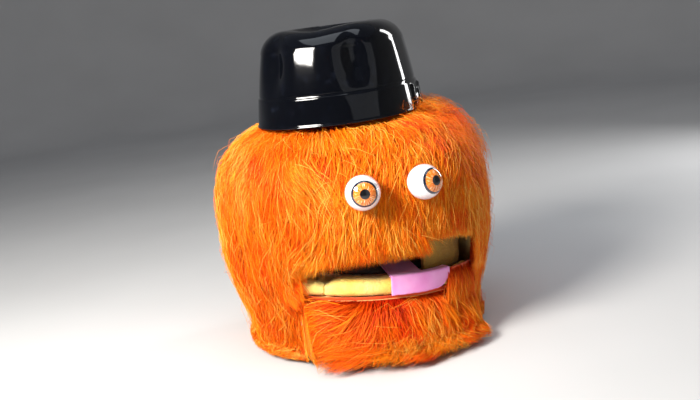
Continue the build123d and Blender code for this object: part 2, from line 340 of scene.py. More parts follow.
def backing_material():
    """The fur's knitted cloth with its short dense undercoat."""
    s = Shader("fur_backing", roughness=0.9, Sheen_Weight=0.3)
    spot = s.place()
    knit = s.cells(900.0, spot=spot)
    patch = s.noise(60.0, spot=spot)
    low = s.ramp(patch, (0.3, (0.50, 0.018, 0.001)), (0.7, (0.80, 0.075, 0.002)))
    s.colour(s.mix(s.math("MULTIPLY", knit, 0.6), low, (0.9, 0.13, 0.005)))
    s.bump(knit, 0.6, 0.0006)
    return s.material


def foam_material(name, pale, deep, shade):
    """Open-cell upholstery foam: fine pores, larger torn cells and slow changes of yellow."""
    s = Shader(name, roughness=0.88, Sheen_Weight=0.15)
    s.bsdf.inputs["Subsurface Weight"].default_value = 0.12
    s.bsdf.inputs["Subsurface Radius"].default_value = (0.006, 0.004, 0.0015)
    spot = s.place()
    pores = s.cells(1500.0, spot=spot)
    torn = s.cells(420.0, spot=spot)
    slow = s.noise(28.0, detail=3.0, spot=spot)
    body = s.mix(s.ramp(slow, (0.35, (0, 0, 0)), (0.65, (1, 1, 1))), pale, deep)
    # The pores are blended towards the shade colour: painted shade in the foam's cells.
    painted_pore_shade = s.ramp(pores, (0.05, (0.75, 0.75, 0.75)), (0.45, (0, 0, 0)))
    s.colour(s.mix(painted_pore_shade, body, shade))
    s.bump(s.math("ADD", s.math("MULTIPLY", pores, 0.5), torn), 0.5, 0.0008)
    return s.material


def felt_material(name, low, high):
    """Pressed felt: matted short fibres."""
    s = Shader(name, roughness=0.97, Sheen_Weight=0.25)
    fibres = s.noise(700.0, detail=6.0, rough=0.7)
    s.colour(s.ramp(fibres, (0.35, low), (0.7, high)))
    s.bump(fibres, 0.4, 0.0005)
    return s.material


def craft_foam_material():
    """Pink craft foam: smooth and matt, with tiny cells, a faint sheen and handling marks."""
    s = Shader("craft_foam", roughness=0.55, Sheen_Weight=0.2)
    s.bsdf.inputs["Subsurface Weight"].default_value = 0.15
    s.bsdf.inputs["Subsurface Radius"].default_value = (0.004, 0.001, 0.003)
    spot = s.place()
    slow = s.noise(45.0, detail=5.0, spot=spot)
    cells = s.cells(1800.0, spot=spot)
    body = s.ramp(slow, (0.3, (0.80, 0.25, 0.62)), (0.55, (0.86, 0.34, 0.70)), (0.8, (0.91, 0.45, 0.77)))
    marks = s.ramp(s.noise(160.0, detail=2.0, spot=spot), (0.70, (0, 0, 0)), (0.80, (0.5, 0.5, 0.5)))
    s.colour(s.mix(marks, body, (0.55, 0.12, 0.40)))
    s.bump(cells, 0.15, 0.0003)
    return s.material


def hat_material():
    """Vacuum-formed black plastic: glossy, faintly rippled, with dust and light scuffs."""
    s = Shader("hat_black_plastic", roughness=0.07, IOR=1.46)
    spot = s.place()
    dust = s.ramp(s.noise(90.0, detail=8.0, rough=0.7, spot=spot), (0.55, (0, 0, 0)), (0.85, (1, 1, 1)))
    s.colour(s.mix(dust, (0.0010, 0.0013, 0.0025), (0.008, 0.010, 0.018)))
    s.bump(s.noise(38.0, detail=2.0, spot=spot), 0.10, 0.0022)
    return s.material


def eye_material():
    """A glossy white ball with a printed iris. The object's +Z is the way the eye looks."""
    s = Shader("eye_print", roughness=0.06, Coat_Weight=1.0, Coat_Roughness=0.03)
    spot = s.node("TexCoord").outputs["Object"]
    unit_spot = s.node("VectorMath", operation="NORMALIZE")
    s.join(spot, unit_spot.inputs[0])
    split = s.node("SeparateXYZ")
    s.join(unit_spot.outputs[0], split.inputs[0])
    x, y, z = split.outputs
    off = s.math("ARCCOSINE", z)  # angle from the middle of the pupil
    around = s.math("ARCTAN2", y, x)
    ring = s.node("CombineXYZ")
    s.join(s.math("MULTIPLY", s.math("COSINE", around), 1.0), ring.inputs[0])
    s.join(s.math("MULTIPLY", s.math("SINE", around), 1.0), ring.inputs[1])
    s.join(s.math("MULTIPLY", off, 0.35), ring.inputs[2])
    streaks = s.noise(9.0, detail=3.0, rough=0.6, spot=ring.outputs[0])
    iris = s.ramp(streaks, (0.38, (0.70, 0.10, 0.006)), (0.52, (0.93, 0.25, 0.020)),
                  (0.60, (0.95, 0.45, 0.14)), (0.70, (0.95, 0.88, 0.78)))
    veins = s.noise(3.2, detail=6.0, rough=0.62, spot=unit_spot.outputs[0])
    thin = s.ramp(s.math("ABSOLUTE", s.math("SUBTRACT", veins, 0.5)), (0.0, (1, 1, 1)), (0.012, (0, 0, 0)))
    near_back = s.ramp(off, (0.85 / pi, (0, 0, 0)), (1.6 / pi, (0.5, 0.5, 0.5)))
    vein_share = s.mix(1.0, thin, near_back, blend="MULTIPLY")
    white = s.mix(vein_share, (0.86, 0.85, 0.87), (0.70, 0.35, 0.48))
    share = s.math("DIVIDE", off, pi)
    black = (0.006, 0.006, 0.008)
    pupil_edge, ring_in, ring_out = 0.281 / pi, 0.665 / pi, 0.814 / pi
    soft = 0.006 / pi
    in_iris = s.ramp(share, (pupil_edge - soft, (0, 0, 0)), (pupil_edge + soft, (1, 1, 1)))
    in_ring = s.ramp(share, (ring_in - soft, (0, 0, 0)), (ring_in + soft, (1, 1, 1)))
    outside = s.ramp(share, (ring_out - soft, (0, 0, 0)), (ring_out + soft, (1, 1, 1)))
    seen = s.mix(in_iris, black, iris)
    seen = s.mix(in_ring, seen, (0.004, 0.012, 0.030))
    s.colour(s.mix(outside, seen, white))
    return s.material


def wood_material():
    s = Shader("plywood", roughness=0.6)
    spot = s.place()
    stretch = s.node("Mapping", Scale=(4.0, 60.0, 60.0))
    s.join(spot, stretch.inputs["Vector"])
    grain = s.noise(12.0, detail=5.0, spot=stretch.outputs["Vector"])
    s.colour(s.ramp(grain, (0.3, (0.36, 0.21, 0.10)), (0.7, (0.66, 0.48, 0.28))))
    s.bump(grain, 0.15, 0.0003)
    return s.material


def elastic_material():
    """Woven elastic: ribs along the band."""
    s = Shader("elastic_black", roughness=0.8, Sheen_Weight=0.2)
    spot = s.place()
    wave = s.node("TexWave", Scale=420.0, Distortion=1.0, bands_direction="Y")
    s.join(spot, wave.inputs["Vector"])
    s.colour(s.ramp(wave.outputs["Fac"], (0.2, (0.012, 0.012, 0.014)), (0.9, (0.06, 0.06, 0.065))))
    s.bump(wave.outputs["Fac"], 0.5, 0.0004)
    return s.material


def metal_material(name, dark, light):
    s = Shader(name, roughness=0.34, Metallic=1.0)
    spot = s.place()
    stretch = s.node("Mapping", Scale=(1.0, 30.0, 30.0))
    s.join(spot, stretch.inputs["Vector"])
    brushed = s.noise(80.0, detail=3.0, spot=stretch.outputs["Vector"])
    s.colour(s.ramp(brushed, (0.3, dark), (0.7, light)))
    s.bump(brushed, 0.08, 0.0001)
    return s.material


FUR = fur_material()
HEM_THREAD = felt_material("hem_thread", (0.70, 0.24, 0.05), (0.95, 0.50, 0.18))
BACKING = backing_material()
# The head's foam is the lips' yellow foam painted darker: painted shade.
HEAD_FOAM_PAINTED_SHADE = foam_material("head_foam_painted_shade", (0.66, 0.47, 0.17), (0.50, 0.33, 0.10), (0.30, 0.17, 0.04))
# The cheek foam is the same yellow foam painted darker still, olive-brown: painted shade at the mouth's corners.
CHEEK_FOAM_PAINTED_SHADE = foam_material("cheek_foam", (0.42, 0.24, 0.03), (0.27, 0.13, 0.015), (0.18, 0.08, 0.008))
LIP_FOAM = foam_material("lip_foam", (0.98, 0.76, 0.24), (0.95, 0.58, 0.06), (0.78, 0.42, 0.04))
BLACK_FELT = felt_material("black_felt", (0.004, 0.004, 0.004), (0.02, 0.019, 0.018))
CRAFT_FOAM = craft_foam_material()
HAT_PLASTIC = hat_material()
EYE_PRINT = eye_material()
WOOD = wood_material()
ELASTIC = elastic_material()
STEEL = metal_material("hinge_steel", (0.38, 0.38, 0.37), (0.66, 0.66, 0.65))
ALUMINIUM = metal_material("rivet_aluminium", (0.60, 0.60, 0.61), (0.85, 0.85, 0.86))


# ---- Fur: closed tapered hairs along paths that follow the head ----


class Track:
    """A line of radius and height, from the top down, that hair follows; s is the length along it."""

    def __init__(self, points):
        self.points = np.asarray(points, float)
        step = np.diff(self.points, axis=0)
        self.s = np.concatenate([[0.0], np.cumsum(np.linalg.norm(step, axis=1))])
        along = unit(np.gradient(self.points, self.s, axis=0))
        self.normals = np.stack([-along[:, 1], along[:, 0]], axis=1)

    def read(self, values, s):
        return np.interp(s, self.s, values)

    def radius(self, s):
        return self.read(self.points[:, 0], s)

    def at_height(self, height):
        """How far down the line a height is."""
        return float(np.interp(-height, -self.points[:, 1], self.s))

    def place(self, s, azimuth, lift):
        radius = self.radius(s) + self.read(self.normals[:, 0], s) * lift
        height = self.read(self.points[:, 1], s) + self.read(self.normals[:, 1], s) * lift
        return place(radius, azimuth, height)


def with_skirt(line, start, spread):
    """The line down to a height, then a curve that turns it outwards along the table."""
    kept = line[line[:, 1] > start]
    radius = kept[-1, 0]
    turn = np.linspace(0.0, 1.0, 9)[1:]
    height = TABLE + 0.001 + (start - TABLE) * (1 - turn) ** 1.6
    skirt = np.stack([radius + spread * turn**1.8, height], axis=1)
    return np.concatenate([kept, skirt])


def hanging(line, edge, low):
    """The line down to an edge, then straight down to a lower height."""
    kept = line[line[:, 1] > edge]
    drop = [(kept[-1, 0], height) for height in np.linspace(edge, low, 9)]
    return np.concatenate([kept, drop])


SEGMENTS = 4
TAPER = np.array([0.9, 1.0, 0.85, 0.55])


def waves(rng, count, low, high):
    """A smooth random function of two coordinates, about -1 to 1, as a sum of waves."""
    scale = rng.uniform(low, high, count)
    heading = rng.uniform(0, 2 * pi, count)
    phase = rng.uniform(0, 2 * pi, count)

    def value(a, b):
        total = 0.0
        for k in range(count):
            total = total + np.sin((a * cos(heading[k]) + b * sin(heading[k])) / scale[k] + phase[k])
        return total / count**0.5

    return value


def grow(track, s, azimuth, length, turn, lean, lift):
    """Paths down the track. turn is the flow's angle from straight down, lean a hair's own."""
    paths = np.empty((len(s), SEGMENTS + 1, 3))
    for k in range(SEGMENTS + 1):
        t = k / SEGMENTS
        rise = 0.001 + lift * min(1.0, t / 0.5) ** 0.8
        paths[:, k] = track.place(s, azimuth, rise)
        angle = turn(s, azimuth) + lean
        step = length / SEGMENTS
        azimuth = azimuth + np.sin(angle) * step / np.maximum(track.radius(s), 0.03)
        s = s + np.cos(angle) * step
    return paths


def nearest(points, centres):
    tree = KDTree(len(centres))
    for i, p in enumerate(centres):
        tree.insert(p, i)
    tree.balance()
    return np.array([tree.find(p)[1] for p in points], int)


def gather(paths, guide_paths, owner, strength, spread, power):
    """Draws each path towards its guide, more towards the tip, so that hairs end in pointed locks."""
    t = (np.arange(SEGMENTS + 1) / SEGMENTS)[None, :, None] ** power
    guide = guide_paths[owner]
    offset = (paths[:, :1] - guide[:, :1]) * spread
    share = strength[:, None, None] * t
    return paths * (1 - share) + (guide + offset) * share


def trim(paths, low):
    """Cuts each path off where it first falls below its own height."""
    z = paths[..., 2]
    below = z < low[:, None]
    cut = below.any(axis=1) & ~below[:, 0]
    first = np.maximum(below.argmax(axis=1), 1)
    rows = np.arange(len(paths))
    above, under = z[rows, first - 1], z[rows, first]
    share = (above - low) / np.maximum(above - under, 1e-6)
    reach = np.where(cut, first - 1 + np.clip(share, 0, 1), SEGMENTS)
    spots = reach[:, None] * np.arange(SEGMENTS + 1) / SEGMENTS
    base = np.minimum(spots.astype(int), SEGMENTS - 1)
    rest = (spots - base)[..., None]
    return paths[rows[:, None], base] * (1 - rest) + paths[rows[:, None], base + 1] * rest


def off_the_eyes(paths, margin):
    for eye in EYES.values():
        away = paths - np.array(eye)
        distance = np.linalg.norm(away, axis=-1, keepdims=True)
        pushed = np.array(eye) + away / np.maximum(distance, 1e-6) * (EYE_R + margin)
        paths = np.where(distance < EYE_R + margin, pushed, paths)
    return paths


def hair_mesh(name, paths, thickness, tone):
    """One closed three-sided tapering tube for each path."""
    count = len(paths)
    along = unit(np.gradient(paths, axis=1))
    out = paths - np.array([0.0, AXIS_Y, 0.1])
    first = unit(np.cross(along, out))
    second = np.cross(along, first)
    angle = np.arange(3) * 2 * pi / 3
    width = (thickness[:, None] * TAPER)[:, :, None, None]
    body = slice(0, SEGMENTS)
    ring = first[:, body, None] * np.cos(angle)[:, None] + second[:, body, None] * np.sin(angle)[:, None]
    rings = paths[:, body, None] + ring * width
    points = np.concatenate([rings.reshape(count, -1, 3), paths[:, -1:]], axis=1)

    corners, v_of, u_of = [], [], []
    offsets = (-0.012, 0.012, 0.0)

    def add(*spots):
        for row, corner in spots:
            corners.append(3 * row + corner)
            v_of.append(row / SEGMENTS)
            u_of.append(offsets[corner])

    for row in range(SEGMENTS - 1):
        for a in range(3):
            b = (a + 1) % 3
            add((row, a), (row, b), (row + 1, b), (row + 1, a))
    for a in range(3):
        add((SEGMENTS - 1, a), (SEGMENTS - 1, (a + 1) % 3), (SEGMENTS, 0))
    add((0, 0), (0, 2), (0, 1))
    sizes = [4] * (3 * (SEGMENTS - 1)) + [3] * 4

    per_hair = points.shape[1]
    loops = (np.arange(count)[:, None] * per_hair + np.array(corners)).ravel()
    starts_one = np.concatenate([[0], np.cumsum(sizes)[:-1]])
    starts = (np.arange(count)[:, None] * len(corners) + starts_one).ravel()
    uv = np.empty((count, len(corners), 2), np.float32)
    uv[:, :, 0] = np.clip(tone[:, None], 0.02, 0.98) + np.array(u_of)
    uv[:, :, 1] = 0.01 + 0.98 * np.array(v_of)

    mesh = bpy.data.meshes.new(name)
    mesh.vertices.add(count * per_hair)
    mesh.vertices.foreach_set("co", points.astype(np.float32).ravel())
    mesh.loops.add(len(loops))
    mesh.loops.foreach_set("vertex_index", loops.astype(np.int32))
    mesh.polygons.add(len(starts))
    mesh.polygons.foreach_set("loop_start", starts.astype(np.int32))
    mesh.uv_layers.new(name=HAIR_UV).data.foreach_set("uv", uv.ravel())
    mesh.update(calc_edges=True)
    return mesh


def fur(name, track, body, count, span, sides, length, turn, seed, **look):
    """A patch of fur between two lengths down a track and two azimuths in degrees.

    look may hold: lean, the scatter of hair angles; lift, the range of heights that hair lies at;
    density, a share of 0 to 1 by s and azimuth; limit, a last change to the paths; locks, the spacing
    of the big locks; power, how late hairs join a lock; thick, the range of half widths; tone, a shift of
    every hair's tone.
    """
    rng = np.random.default_rng(seed)
    low, high = (radians(a) for a in sides)
    s, azimuth = rng.uniform(*span, count), rng.uniform(low, high, count)
    keep = rng.uniform(0, 1, count) < track.radius(s) / track.points[:, 0].max()
    if "density" in look:
        keep &= rng.uniform(0, 1, count) < look["density"](s, azimuth)
    s, azimuth = s[keep], azimuth[keep]
    count = len(s)
    lean = rng.normal(0, look.get("lean", 0.24), count)
    lift = rng.uniform(*look.get("lift", (0.002, 0.012)), count)
    guard = rng.uniform(0, 1, count) < 0.07  # long bright hairs that lie on top
    lift = np.where(guard, lift + 0.0025, lift)
    lean = np.where(guard, lean * 1.8, lean)
    lengths = rng.uniform(*length, count) * rng.uniform(0.75, 1.1, count)
    wander = waves(rng, 6, 0.010, 0.030)
    mean_radius = track.radius(np.mean(span))

    def flow(s, azimuth):
        return turn(s, azimuth) + 0.34 * wander(s, azimuth * mean_radius)

    paths = grow(track, s, azimuth, lengths, flow, lean, lift)

    locks = max(4, int((span[1] - span[0]) * (high - low) * mean_radius / look.get("locks", 0.015) ** 2))
    guides = rng.integers(0, count, locks)
    tufts = rng.integers(0, count, locks * 9)
    tuft_owner = nearest(paths[tufts, 0], paths[guides, 0])
    strong = rng.uniform(0.35, 0.85, locks * 9)
    tuft_paths = gather(paths[tufts], paths[guides], tuft_owner, strong, 0.30, 1.2)
    owner = nearest(paths[:, 0], tuft_paths[:, 0])
    hold = np.where(guard, 0.25, rng.uniform(0.45, 0.95, count))
    paths = gather(paths, tuft_paths, owner, hold, 0.25, look.get("power", 1.0))

    # Guard hairs get 0.30 more tone, paler and yellower: a painted highlight on the hairs that lie on top.
    tone = 0.47 + look.get("tone", 0.0) + rng.normal(0, 0.12, count) + 0.30 * guard
    tone += rng.normal(0, 0.13, locks * 9)[owner] + rng.normal(0, 0.13, locks)[tuft_owner[owner]]
    if "limit" in look:
        paths = look["limit"](paths)
    paths = off_the_eyes(paths, 0.0006)
    paths[..., 2] = np.maximum(paths[..., 2], TABLE + 0.0006)
    thickness = rng.uniform(*look.get("thick", (0.00017, 0.00032)), count)
    link(name, hair_mesh(name, paths, thickness, tone), FUR, body, "orange_fur")


HEAD_TRACK = Track(with_skirt(FOAM_LINE, 0.012, 0.016))
FACE_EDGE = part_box("face_foam")[0].z
FACE_TRACK = Track(hanging(FOAM_LINE, FACE_EDGE + 0.004, 0.05))


FACE_MIDDLE_R = 0.127  # a radius inside the face foam's wall, near its outer surface


def face_edge():
    """The face foam's lower edge, as azimuths and heights: it slants with the mouth."""
    tree = tree_of("face_foam")
    azimuths = np.radians(np.arange(-44, 45, 4))
    starts = place(FACE_MIDDLE_R, azimuths, TABLE)
    hits = [tree.ray_cast(Vector(start), Vector((0, 0, 1)))[0] for start in starts]
    return azimuths, np.array([hit.z if hit else FACE_EDGE for hit in hits])


EDGE_AZIMUTHS, EDGE_HEIGHTS = face_edge()


def on_face(s, azimuth):
    """Face hair is rooted only where there is foam behind it."""
    height = FACE_TRACK.read(FACE_TRACK.points[:, 1], s)
    return (height > np.interp(azimuth, EDGE_AZIMUTHS, EDGE_HEIGHTS) + 0.001).astype(float)

EDGE_LEAN = 0.0032  # side hair leans this far over the edge of the jaw's slot
BEARD_GAP = 0.0045  # the beard stays this far inside the slot's walls
HAT_TURN = radians(-31.0)
HAT_SIDE, HAT_FRONT = 0.0825, 0.0965  # half sizes of the rim


def straight(s, azimuth):
    return 0.0 * s


def outside_hat(s, azimuth):
    """No hair is rooted under the hat: its rim is an oval, turned about the head's axis."""
    turned = azimuth - HAT_TURN
    rim = 1 / np.sqrt((np.sin(turned) / HAT_SIDE) ** 2 + (np.cos(turned) / HAT_FRONT) ** 2)
    return (HEAD_TRACK.radius(s) > rim - 0.026).astype(float)


def off_the_jaw(paths):
    """Side hair stays on its own side of the slot that the jaw moves in."""
    x, y, z = paths[..., 0], paths[..., 1], paths[..., 2]
    edge = SLOT_HALF - EDGE_LEAN
    in_slot = (np.abs(x) < edge) & (y < AXIS_Y) & (z < FACE_EDGE)
    paths[..., 0] = np.where(in_slot, np.sign(x) * edge, x)
    return paths


def in_the_slot(paths):
    """Beard hair rolls with the jaw and stays between the side panels."""
    paths = askew(paths)
    paths[..., 0] = np.clip(paths[..., 0], BEARD_GAP - SLOT_HALF, SLOT_HALF - BEARD_GAP)
    return paths


FRINGE_AZIMUTHS = [-47, -40, -34, -28, -22, -8, 4, 10.4, 11.2, 20, 30, 38, 47]
FRINGE_HEIGHTS = [0.084, 0.085, 0.088, 0.094, 0.101, 0.1025, 0.1015, 0.1005, 0.117, 0.114, 0.110, 0.105,
                  0.097]


def fringe_cut(paths):
    """The fringe is trimmed above the mouth, and ends early over the puppet's left cheek."""
    root = paths[:, 0]
    azimuth = np.degrees(np.arctan2(root[:, 0], AXIS_Y - root[:, 1]))
    low = np.interp(azimuth, FRINGE_AZIMUTHS, FRINGE_HEIGHTS)
    uneven = np.random.default_rng(7).normal(0, 0.0016, len(paths)) + 0.0012 * np.sin(azimuth * 1.9)
    return trim(paths, low + uneven)


def beard_turn(s, azimuth):
    """The beard fans out from under the tongue's outer end."""
    return np.radians(np.interp(np.degrees(azimuth), [-46, -25, 0, 18, 30, 46], [-52, -42, -26, -8, 2, 4]))


CROWN_S = HEAD_TRACK.at_height(CROWN_SEAM_Z)
TABLE_S = HEAD_TRACK.at_height(TABLE + 0.012)
FACE_S = (FACE_TRACK.at_height(CROWN_SEAM_Z), FACE_TRACK.at_height(FACE_EDGE + 0.002))
SIDE_HAIR = dict(length=(0.040, 0.068), turn=straight, limit=off_the_jaw)

for index in range(4):
    part = (index * 90 - 45, index * 90 + 45)
    fur(f"fur_hair_crown_{index + 1}", HEAD_TRACK, "head", 7600, (0.05, CROWN_S + 0.004), part,
        (0.034, 0.058), straight, 10 + index, density=outside_hat, lift=(0.002, 0.009))
for index in range(4):
    part = (-46 + index * 23, -23 + index * 23)
    fur(f"fur_hair_face_{index + 1}", FACE_TRACK, "head", 7600, FACE_S, part, (0.040, 0.064),
        straight, 20 + index, limit=fringe_cut, density=on_face)
for side, sign in SIDES:
    for index in range(3):
        edges = sorted(sign * (44 + (index + k) * 27.5) for k in (0, 1))
        fur(f"fur_hair_side_{side}_{index + 1}", HEAD_TRACK, "head", 8600, (CROWN_S, TABLE_S), edges,
            seed=30 + index + 5 * sign, **SIDE_HAIR)
for index in range(3):
    part = (124 + index * 37.5, 161.5 + index * 37.5)
    fur(f"fur_hair_back_{index + 1}", HEAD_TRACK, "head", 8600, (CROWN_S, TABLE_S), part,
        seed=50 + index, **SIDE_HAIR)


def tousled(name, seed, count, span, sides, lift):
    """Stray hairs and tufts that stand away from the rest."""
    fur(name, HEAD_TRACK, "head", count, span, sides, (0.028, 0.050), straight, seed,
        lean=0.75, lift=lift, locks=0.020, thick=(0.00012, 0.00020), limit=off_the_jaw)


def over_corner(paths):
    """Side hair combed forward over a corner of the mouth, at least a radius out."""
    x, y = paths[..., 0], paths[..., 1]
    reach = np.hypot(x, y - AXIS_Y)
    out = np.maximum(1.0, CORNER_R / np.maximum(reach, 0.01))
    paths[..., 0] = x * out
    paths[..., 1] = AXIS_Y + (y - AXIS_Y) * out
    return paths


CORNER_R = 0.1365  # outside the cloth on the jaw
CORNER_S = (HEAD_TRACK.at_height(0.142), HEAD_TRACK.at_height(0.088))
for seed, (side, sign) in enumerate(SIDES, start=81):
    edges = sorted(sign * a for a in (45.5, 53.0))
    fur(f"fur_hair_side_{side}_corner", HEAD_TRACK, "head", 1500, CORNER_S, edges, (0.026, 0.046),
        lambda s, a, sign=sign: -sign * radians(24) + 0 * s, seed, lift=(0.004, 0.010), limit=over_corner)

SHOULDER_S = (CROWN_S - 0.045, CROWN_S + 0.030)
BELOW_SEAM_S = (CROWN_S + 0.015, CROWN_S + 0.045)
tousled("fur_hair_crown_tufts", 71, 1400, SHOULDER_S, (40, 115), (0.008, 0.024))
tousled("fur_hair_side_right_tufts", 72, 260, BELOW_SEAM_S, (-115, -80), (0.005, 0.014))
tousled("fur_hair_side_left_strays", 73, 700, (CROWN_S, TABLE_S), (60, 130), (0.006, 0.018))
tousled("fur_hair_side_right_strays", 74, 500, (CROWN_S, TABLE_S), (-130, -70), (0.006, 0.016))
tousled("fur_hair_back_strays", 75, 900, (CROWN_S, TABLE_S), (130, 230), (0.006, 0.016))

JAW_TOP = LIP_LOW.z - 0.0005
JAW_R = radius_of(Vector((0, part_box("jaw_foam")[0].y, 0)))
JAW_CORNER = radians(29.0)  # the fur is folded up over the lip past here
JAW_CORNER_TOP = level_box("fur_jaw")[1].z
FALL = [(0.0050, 0.055), (0.0055, 0.040), (0.007, 0.026), (0.009, 0.014), (0.014, 0.006), (0.024, 0.002),
        (0.045, 0.001)]
BEARD_TRACK = Track([(JAW_R + 0.001, JAW_TOP - 0.003)] + [(JAW_R + out, z) for out, z in FALL])
CORNER_TRACK = Track([(JAW_R + 0.0064, JAW_CORNER_TOP), (JAW_R + 0.0064, JAW_TOP + 0.002)] +
                     [(JAW_R + out, z) for out, z in FALL])
for index in range(3):
    part = (-47 + index * 31.5, -15.5 + index * 31.5)
    fur(f"fur_hair_jaw_{index + 1}", BEARD_TRACK, "jaw", 7600, (0.0005, 0.034), part, (0.040, 0.086),
        beard_turn, 60 + index, limit=in_the_slot, lift=(0.001, 0.015), locks=0.020, lean=0.24,
        power=0.75, tone=-0.06)
fur("fur_hair_jaw_wisps", BEARD_TRACK, "jaw", 1500, (0.010, 0.040), (-44, 40), (0.060, 0.105),
    beard_turn, 67, limit=in_the_slot, lift=(0.003, 0.018), locks=0.026, lean=0.5, power=0.6,
    thick=(0.00014, 0.00024), tone=0.05)
# These hairs are given a darker tone: painted shade in the mouth's corner.
fur("fur_hair_jaw_corner", CORNER_TRACK, "jaw", 3000, (0.0, 0.030), (26.5, 47), (0.030, 0.060),
    beard_turn, 66, limit=in_the_slot, lift=(0.001, 0.009), tone=-0.15)


# ---- Fur cloth: one knitted sheet for each panel, standing for its CAD solid ----

FACE_SEAM, BACK_SEAM = 45, 125  # azimuths of the seams between the fur panels, in degrees
FOAM_TRACK = Track(FOAM_LINE)
CLOTH = 0.0014  # thickness
CLOTH_LIFT = 0.0009  # from the foam to the middle of the cloth
HEM_S = FOAM_TRACK.at_height(TABLE + 0.0035)


def cloth(name, node, body, s, azimuth, track=FOAM_TRACK, wrap=False, rolled=False):
    """A sheet over a grid of lengths down a track and azimuths, a little lumpy, as glued cloth is."""
    s, azimuth = np.broadcast_arrays(s, azimuth)
    rows, columns = s.shape
    mesh = mesh_of(name, track.place(s, azimuth, CLOTH_LIFT), grid_faces(rows, columns, wrap))
    if rolled:
        mesh.transform(ASKEW)
    roughen(mesh, 0.0005, 0.012)
    piece = link(name, mesh, BACKING, body, "orange_fur")
    thick = piece.modifiers.new("thickness", "SOLIDIFY")
    thick.thickness = CLOTH
    thick.offset = 0.0
    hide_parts(node)
    across = np.ptp(azimuth, axis=1) * (columns / (columns - 1) if wrap else 1.0)
    width = float((across * track.radius(s[:, 0])).max())
    length = float(np.ptp(s))
    if wrap:
        width = length = 2 * length
    return piece


def slot_edge(s, azimuth):
    """The azimuth of the side panel's front edge: the seam, or the wall of the jaw's slot below the mouth."""
    radius = FOAM_TRACK.radius(s)
    low = FOAM_TRACK.read(FOAM_TRACK.points[:, 1], s) < FACE_EDGE
    return np.where(low, np.arcsin(np.minimum(0.999, (SLOT_HALF + 0.0008) / radius)), azimuth)


def head_cloth():
    seam, back = radians(FACE_SEAM), radians(BACK_SEAM)
    rows = np.linspace(CROWN_S, HEM_S, 60)[:, None]
    share = np.linspace(0, 1, 50)[None, :]
    for side, sign in SIDES:
        front = slot_edge(rows, seam)
        azimuth = sign * (front + (back - front) * share)
        cloth(f"fur_cloth_side_{side}", f"fur_side_{side}", "head", rows, azimuth)
    cloth("fur_cloth_back", "fur_back", "head", rows, back + (2 * pi - 2 * back) * share)
    across = seam * (2 * share - 1)
    ends = [FOAM_TRACK.at_height(np.interp(a, EDGE_AZIMUTHS, EDGE_HEIGHTS) + 0.001) for a in across[0]]
    rows = CROWN_S + (np.array(ends) - CROWN_S) * np.linspace(0, 1, 40)[:, None]
    cloth("fur_cloth_face", "fur_face", "head", rows, across)
    rows = np.linspace(0.002, CROWN_S, 50)[:, None]
    around = np.linspace(0, 2 * pi, 121)[None, :-1]
    cloth("fur_cloth_crown", "fur_crown", "head", rows, around,
          wrap=True)


def slot_azimuth(height, share):
    """The azimuth on the level jaw, at a share of -1 to 1 of the way across the upright slot."""
    across = (SLOT_HALF - JAW_GAP) * share + (HINGE.z - height) * sin(ROLL)
    return np.arcsin(np.clip(across / cos(ROLL) / JAW_R, -0.99, 0.99))


def jaw_cloth():
    """The beard's cloth on the jaw foam, folded up over the lip at the puppet's left corner."""
    low = level_box("fur_jaw")[0].z
    line = Track([(JAW_R + 0.0062, JAW_CORNER_TOP), (JAW_R + 0.0062, JAW_TOP + 0.003),
                  (JAW_R + 0.0012, JAW_TOP - 0.0008), (JAW_R + 0.0006, 0.060), (JAW_R + 0.0006, low)])
    azimuth = slot_azimuth(JAW_TOP, np.linspace(-1, 1, 90))
    top = line.at_height(JAW_TOP) * (1 - step(azimuth, JAW_CORNER, radians(2.0)))
    rows = top + (line.s[-1] - top) * np.linspace(0, 1, 30)[:, None]
    azimuth = slot_azimuth(line.read(line.points[:, 1], rows), np.linspace(-1, 1, 90))
    hem_azimuth = slot_azimuth(JAW_TOP, np.linspace(-1, 1, 200))
    hem_azimuth = hem_azimuth[hem_azimuth < JAW_CORNER - radians(3)]
    hem = sweep("fur_hem", place(JAW_R + 0.0026, hem_azimuth, JAW_TOP - 0.0036), 0.00045)
    hem.transform(ASKEW)
    piece = link("fur_hem", hem, HEM_THREAD, "jaw", "orange_fur")
    cloth("fur_cloth_jaw", "fur_jaw", "jaw", rows, azimuth, line,
          rolled=True)


# ---- Foam, felt and elastic: each soft CAD solid again as a softened, slightly uneven mesh ----

RECORD = frame["record"]
BODY = {node: body for body, nodes in RECORD["behaviour"]["bodies"].items() for node in nodes}


def softened(node, voxel, smooth=4, change=None):
    """A node's shape as an even mesh with its corners softened."""
    shape = add("shape", frame["nodes"][node].data.copy())
    remesh = shape.modifiers.new("remesh", "REMESH")
    remesh.mode = "VOXEL"
    remesh.voxel_size = voxel
    relax = shape.modifiers.new("relax", "SMOOTH")
    relax.factor = 0.5
    relax.iterations = smooth
    ready = shape.evaluated_get(bpy.context.evaluated_depsgraph_get())
    mesh = bpy.data.meshes.new_from_object(ready)
    mesh.materials.clear()
    bpy.data.objects.remove(shape)
    if change:
        for v in mesh.vertices:
            v.co = change(v.co)
        mesh.update()
    return mesh


def soft(node, material, slot, voxel, lumps=(0.0, 0.01), fill=None, name=None, change=None, smooth=4):
    """A soft piece in place of a node, with lumps of (height, size)."""
    mesh = softened(node, voxel, smooth, change)
    if lumps[0]:
        roughen(mesh, *lumps, seed=len(node) * 0.37)
    piece = link(name or node + "_soft", mesh, material, BODY[node], slot)
    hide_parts(node)
    return piece


def rolled_with_mouth(change):
    """A change to a level shape, made to the same shape as it sits askew."""
    return lambda point: ASKEW @ change(LEVEL @ point)


def polar(point):
    return radius_of(point), np.arctan2(point.x, AXIS_Y - point.y), point.z


def from_polar(radius, azimuth, height):
    return Vector((radius * sin(azimuth), AXIS_Y - radius * cos(azimuth), height))


LIP_SEAM = radians(-32.0)
LIP_MIDDLE = (LIP_LOW.z + LIP_HIGH.z) / 2


